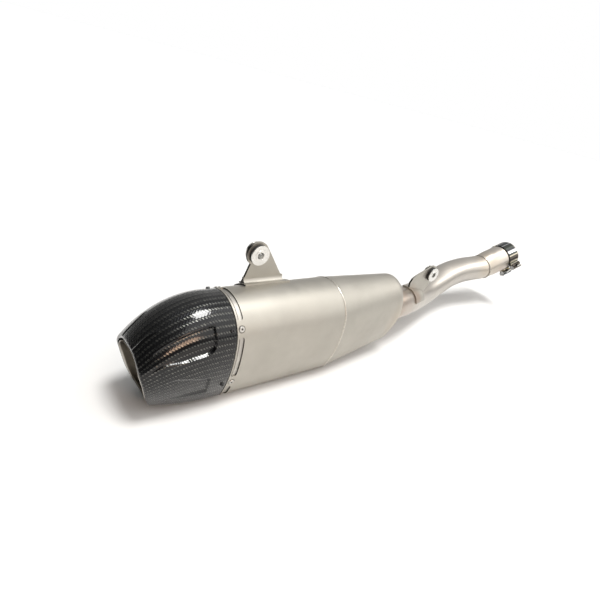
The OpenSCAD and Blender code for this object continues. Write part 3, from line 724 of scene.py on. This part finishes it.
def ridge(u, s):
    """A thin moulded crease that runs back from each upper corner of the mouth."""
    path = RIDGE_S + RIDGE_BEND * ease(u, *RIDGE_BEND_IN)
    return np.exp(-((np.abs(wrap(s)) - path) / RIDGE_W) ** 2) * ease(u, *RIDGE_IN)


def cap_ring(u, d, cols=COLS):
    """The cap's outline at u, moved in by d."""
    s = columns(cols)
    x, z, a = outline(s)
    straight = ease(np.abs(s), *SIDE_IN) * ease(np.abs(s), *SIDE_OUT)
    u = u - MOUTH_SWEEP * ease(u, *SWEEP_IN) * (1 - straight)
    t = taper(u)
    sink = d + POCKET * pockets(u, s) - RIDGE * ridge(u, s)
    x, z = scaled(x, z, mix(TOP_R, MOUTH_W, t), mix(TOP_Z, MOUTH_TOP, t),
                  mix(BOTTOM_Z, MOUTH_BOTTOM, t))
    x = x - sink * np.cos(a)
    z = z - sink * np.sin(a)
    return np.stack([x, -u * (CAP_LEN - LEAN * (MOUTH_TOP - z)) - JOINT_GAP, z], 1)


# Rings are closest at the pockets' front edges and at the lip. Each ring's edge value
# rounds the ends: both skins close in by that much
CAP_COLS, LIP_FROM = 600, 0.972
lip_us = [0.979, 0.986, 0.992, 0.995, 0.998, 1.0]
us = np.concatenate([[0, 0.004], np.linspace(0.01, 0.2, 12)[:-1],
                     np.linspace(0.2, 0.3, 26)[:-1], np.linspace(0.3, LIP_FROM, 62), lip_us])
back_edge, lip_edge = [0.35, 0.1], [0.08, 0.22, 0.5, 0.95]
plain = len(us) - len(back_edge) - len(lip_edge)
edge = np.concatenate([back_edge, np.zeros(plain), lip_edge])
thick = CAP_T + LIP * ease(us, LIP_FROM, 0.014)
outer = [cap_ring(u, e, CAP_COLS) for u, e in zip(us, edge)]
inner = [cap_ring(u, t - e, CAP_COLS) for u, e, t in zip(us, edge, thick)]
# The weave's UV map: arc length round the outline, and length along the cap's top
top = CAP_COLS // 2
steps = [np.linalg.norm(b[top] - a[top]) for a, b in zip(outer, outer[1:])]
run = np.concatenate([[0], np.cumsum(steps)])
coords = [[(s, v) for s in (*columns(CAP_COLS), S_HALF)] for v in run]
skin("carbon_cap", "end_cap", outer, inner, coords)

# Outlet liner: where it meets the outlet tube, its gap to the lip and its wall. Its rim is
# rounded over the first part of its length
TUBE_R, LINER_BACK, LINER_GAP, LINER_T = 25.0, -26.0, 1.5, 1.3
RIM_U, RIM_ROUND = 0.04, 0.5


def liner_ring(u, d):
    """The liner's outline at u from the mouth, 0, to the outlet tube, 1, moved in by d."""
    p = cap_ring(1.0, CAP_T + LIP + LINER_GAP)
    e = p[:, [0, 2]]
    n = e / np.linalg.norm(e, axis=1)[:, None]
    q = mix(e, n * TUBE_R, smooth(u)) - d * n
    return np.stack([q[:, 0], mix(p[:, 1], LINER_BACK, u), q[:, 1]], 1)


liner_us = np.concatenate([[0, 0.005, 0.012, 0.022, RIM_U], np.linspace(0.06, 1, 38)])
rim = RIM_ROUND * (np.sqrt(np.clip(1 - np.square(1 - liner_us / RIM_U), 0, 1)) - 1)
rim = np.where(liner_us < RIM_U, rim, 0.0)
skin("mouth_liner", "outlet_liner",
     [liner_ring(u, -e) for u, e in zip(liner_us, rim)][::-1],
     [liner_ring(u, LINER_T + e) for u, e in zip(liner_us, rim)][::-1])

# ---------------------------------------------------------------- pipe and socket
PIPE_D, PIPE_T, SOCKET_D, SOCKET_LEN = 50.0, 1.2, 54.0, 90.0
BORE_D, BORE_LEN = 51.1, 60.0
# The pipe follows a Catmull-Rom curve through these points, and ends just short of the
# socket, headed for a point LEAD further along the inlet's axis
PIPE_GAP, LEAD = 0.3, 40
ROUTE = [(0, 184, 0), (-1, 245, 1), (-4, 302, 2), (-13, 350, -1), (-27, 400, -7),
         (-42, 450, -10), (-54, 500, -4), (-62, 550, 6), (-65, 600, 12), (-63, 640, 15)]
ROUTE = [np.array(p, float) for p in ROUTE]
ROUTE += [INLET_MOUTH - (SOCKET_LEN + PIPE_GAP) * INLET]
NOSE_POINT, ROUTE_STEPS, PIPE_SIDES = 2, 12, 96


def route_at(i):
    if i < 0:
        return 2 * ROUTE[0] - ROUTE[1]
    return ROUTE[i] if i < len(ROUTE) else ROUTE[-1] + LEAD * INLET


def route_curve(k, t):
    a, b, c, e = (route_at(k + q) for q in (-1, 0, 1, 2))
    return 0.5 * (2 * b + (c - a) * t + (2 * a - 5 * b + 4 * c - e) * t * t
                  + (3 * b - a - 3 * c + e) * t ** 3)


line = [route_curve(k, j / ROUTE_STEPS) for k in range(len(ROUTE) - 1)
        for j in range(ROUTE_STEPS)] + [ROUTE[-1]]


def pipe_ring(i, r):
    """A circle of radius r across the pipe's line at its point i."""
    d = INLET if i == len(line) - 1 else line[i + 1] - line[max(i - 1, 0)]
    d = d / np.linalg.norm(d)
    u = np.cross(d, [0, 0, 1])
    u = u / np.linalg.norm(u)
    v = np.cross(u, d)
    t = -np.linspace(0, 2 * math.pi, PIPE_SIDES, endpoint=False)[:, None]
    return line[i] + r * (np.cos(t) * u + np.sin(t) * v)


skin("bent_pipe", "link_pipe", [pipe_ring(i, PIPE_D / 2) for i in range(len(line))],
     [pipe_ring(i, PIPE_D / 2 - PIPE_T) for i in range(len(line))])
ring_bead("socket_bead", "socket_weld",
          INLET_M @ Matrix.Translation((0, 0, -SOCKET_LEN - 0.5)),
          radius=PIPE_D / 2 + 0.8, width=1.3, height=0.55, pitch=1.6)
nose_dir = Vector(ROUTE[NOSE_POINT + 1] - ROUTE[NOSE_POINT]).normalized()
nose_at = Vector(ROUTE[NOSE_POINT] + np.array([0, 0.6, 0]) + CAN / MM)
nose_turn = nose_dir.to_track_quat("Z", "Y").to_matrix().to_4x4()
ring_bead("nose_bead", "nose_weld", Matrix.Translation(nose_at) @ nose_turn,
          radius=PIPE_D / 2 + 1.5, width=1.4, height=1.3, pitch=1.8)

# Socket: flared from just over the pipe to its full width, with a softened mouth and a
# bore that ends in a step down to the pipe's inside
FLARE, SLACK, SOCKET_SIDES = 24.0, 0.5, 128
r_in, r_out, r_pipe = BORE_D / 2, SOCKET_D / 2, PIPE_D / 2 - PIPE_T
r_small = PIPE_D / 2 + SLACK
profile = [(r_small, -SOCKET_LEN)]
profile += [(mix(r_small, r_out, float(smooth(t))), -SOCKET_LEN + FLARE * t)
            for t in np.linspace(0.05, 1, 16)]
profile += [(r_out, -50), (r_out, -30), (r_out, -0.4), (r_out - 0.12, -0.1), (r_out - 0.4, 0),
            (r_in + 0.4, 0), (r_in + 0.1, -0.1), (r_in, -0.4), (r_in, -BORE_LEN + 0.3),
            (r_pipe, -BORE_LEN), (r_pipe, -SOCKET_LEN)]
loft("socket", "inlet_socket", lathe(profile, SOCKET_SIDES), matrix=INLET_M)

# ---------------------------------------------------------------- small CAD parts
# Exact CAD parts that get rounded edges, and how wide in mm
REFINE = {
    "rear_bracket": 0.5, "front_bracket": 0.5, "rear_grommet": 0.5, "front_grommet": 0.5,
    "rear_bush_outer": 0.3, "rear_bush_inner": 0.3, "front_bush_outer": 0.3,
    "front_bush_inner": 0.3, "ring_rivets": 0.2, "cap_screws": 0.2, "clamp_band": 0.2,
    "clamp_plain_barrel": 0.3, "clamp_nut_barrel": 0.3, "clamp_spacer": 0.25,
    "clamp_bolt": 0.3, "front_bracket_weld": 0.3,
}
REFINE_ANGLE = math.radians(30)


def refined(node, body, width):
    """A copy of an exact CAD part with its flat faces merged and its edges rounded."""
    name = node + "_fine"
    bm = bmesh.new()
    bm.from_mesh(NODES[node].data)
    bmesh.ops.remove_doubles(bm, verts=bm.verts, dist=2e-6)
    bmesh.ops.dissolve_limit(bm, angle_limit=math.radians(0.4), verts=bm.verts, edges=bm.edges)
    me = bpy.data.meshes.new(name)
    bm.to_mesh(me)
    bm.free()
    me.shade_smooth()
    me.set_sharp_from_angle(angle=REFINE_ANGLE)
    me.materials.clear()
    me.materials.append(M[SLOT[node]])
    ob = bpy.data.objects.new(name, me)
    bpy.context.scene.collection.objects.link(ob)
    mod = ob.modifiers.new("edge", "BEVEL")
    mod.width, mod.segments = width * MM, 2
    mod.limit_method, mod.angle_limit = "ANGLE", REFINE_ANGLE
    mod.harden_normals = True
    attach(ob, body)
    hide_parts(node)


for body, parts in frame["record"]["behaviour"]["bodies"].items():
    for node in parts:
        if not NODES[node].hide_render:
            NODES[node].data.materials.clear()
            NODES[node].data.materials.append(M[SLOT[node]])
        if node in REFINE:
            refined(node, body, REFINE[node])

# ---------------------------------------------------------------- stage
FLOOR_R, FLOOR_SIDES = 60.0, 64
floor = Graph("floor_white")
floor.set(Base_Color=floor.ramp(floor.noise(3.0), (0.0, (0.71, 0.71, 0.705)),
                                (1.0, (0.73, 0.73, 0.725))),
          Roughness=0.9, Specular_IOR_Level=0.1)
me = bpy.data.meshes.new("floor")
me.from_pydata([(FLOOR_R * math.cos(t), FLOOR_R * math.sin(t), CAD_BOX[0].z)
                for t in np.linspace(0, 2 * math.pi, FLOOR_SIDES, endpoint=False)],
               [], [list(range(FLOOR_SIDES))])
me.materials.append(floor.mat)
ground = bpy.data.objects.new("floor", me)
bpy.context.scene.collection.objects.link(ground)

# Studio light: (place, brightness) stops, where place goes from 0 opposite SKY_AXIS to 1
# along it. The camera sees plain white in its stead
SKY_AXIS = (-0.10, 0.60, 0.79)
SKY = ((0.0, 0.09), (0.45, 0.12), (0.62, 0.24), (0.8, 0.52), (1.0, 0.76))
world = bpy.data.worlds.new("studio")
bpy.context.scene.world = world
world.use_nodes = True
nodes, link = world.node_tree.nodes, world.node_tree.links.new
toward = nodes.new("ShaderNodeVectorMath")
toward.operation = "DOT_PRODUCT"
toward.inputs[1].default_value = SKY_AXIS
link(nodes.new("ShaderNodeTexCoord").outputs["Generated"], toward.inputs[0])
spread = nodes.new("ShaderNodeMapRange")
spread.inputs["From Min"].default_value = -1.0
link(toward.outputs["Value"], spread.inputs["Value"])
ramp = nodes.new("ShaderNodeValToRGB")
link(spread.outputs[0], ramp.inputs[0])
while len(ramp.color_ramp.elements) < len(SKY):
    ramp.color_ramp.elements.new(0.5)
for element, (pos, value) in zip(ramp.color_ramp.elements, SKY):
    element.position = pos
    element.color = (value, value * 0.99, value * 0.975, 1)
back = nodes["Background"]
back.inputs["Strength"].default_value = 1.0
link(ramp.outputs["Color"], back.inputs["Color"])
white = nodes.new("ShaderNodeBackground")
white.inputs["Color"].default_value = (1, 1, 1, 1)
blend = nodes.new("ShaderNodeMixShader")
link(nodes.new("ShaderNodeLightPath").outputs["Is Camera Ray"], blend.inputs[0])
link(back.outputs[0], blend.inputs[1])
link(white.outputs[0], blend.inputs[2])
link(blend.outputs[0], nodes["World Output"].inputs["Surface"])

CENTRE = (CAD_BOX[0] + CAD_BOX[1]) / 2


def lamp(name, kind, place, aim, energy, colour, **props):
    """A lamp at a place that points at aim, both in metres from the object's middle. The
    camera doesn't see an area lamp itself."""
    data = bpy.data.lights.new(name, kind)
    data.energy, data.color = energy, colour
    for key, value in props.items():
        setattr(data, key, value)
    ob = bpy.data.objects.new(name, data)
    place, aim = CENTRE + Vector(place), CENTRE + Vector(aim)
    ob.location = place
    ob.rotation_mode = "QUATERNION"
    ob.rotation_quaternion = (aim - place).to_track_quat("-Z", "Y")
    ob.visible_camera = kind != "AREA"
    bpy.context.scene.collection.objects.link(ob)


lamp("key_sun", "SUN", (0.146, 0.123, 0.982), (0, 0, 0), 2.6, (1, 0.99, 0.975),
     angle=math.radians(19.5))
lamp("fill_sun", "SUN", (0.60, 0.42, 0.68), (0, 0, 0), 1.5, (1, 0.985, 0.96),
     angle=math.radians(76))
lamp("pipe_window", "AREA", (0.22, 0.80, 0.36), (0.02, 0.26, 0.02), 0.38, (1, 0.985, 0.95),
     shape="SQUARE", size=0.2)
lamp("warm_panel", "AREA", (0.78, -0.37, 0.265), (0.06, -0.38, 0), 1.1, (1, 0.66, 0.45),
     shape="ELLIPSE", size=0.28, size_y=0.13)

# ---------------------------------------------------------------- camera
CAMERA_AT, LENS = (0.4097, -0.9875, 0.2326), 26.4
RIGHT, UP, BACK = (0.593, 0.771, 0.2325), (-0.483, 0.109, 0.869), (0.645, -0.627, 0.437)
cam_data = bpy.data.cameras.new("camera")
cam_data.sensor_width = 36.0
cam_data.lens = LENS
cam_data.clip_start, cam_data.clip_end = 0.01, 200.0
cam = bpy.data.objects.new("camera", cam_data)
axes = Matrix((RIGHT, UP, BACK)).transposed().to_4x4()
cam.matrix_world = Matrix.Translation(CAMERA_AT) @ axes
bpy.context.scene.collection.objects.link(cam)
bpy.context.scene.camera = cam
bpy.context.scene.view_settings.view_transform = "Standard"
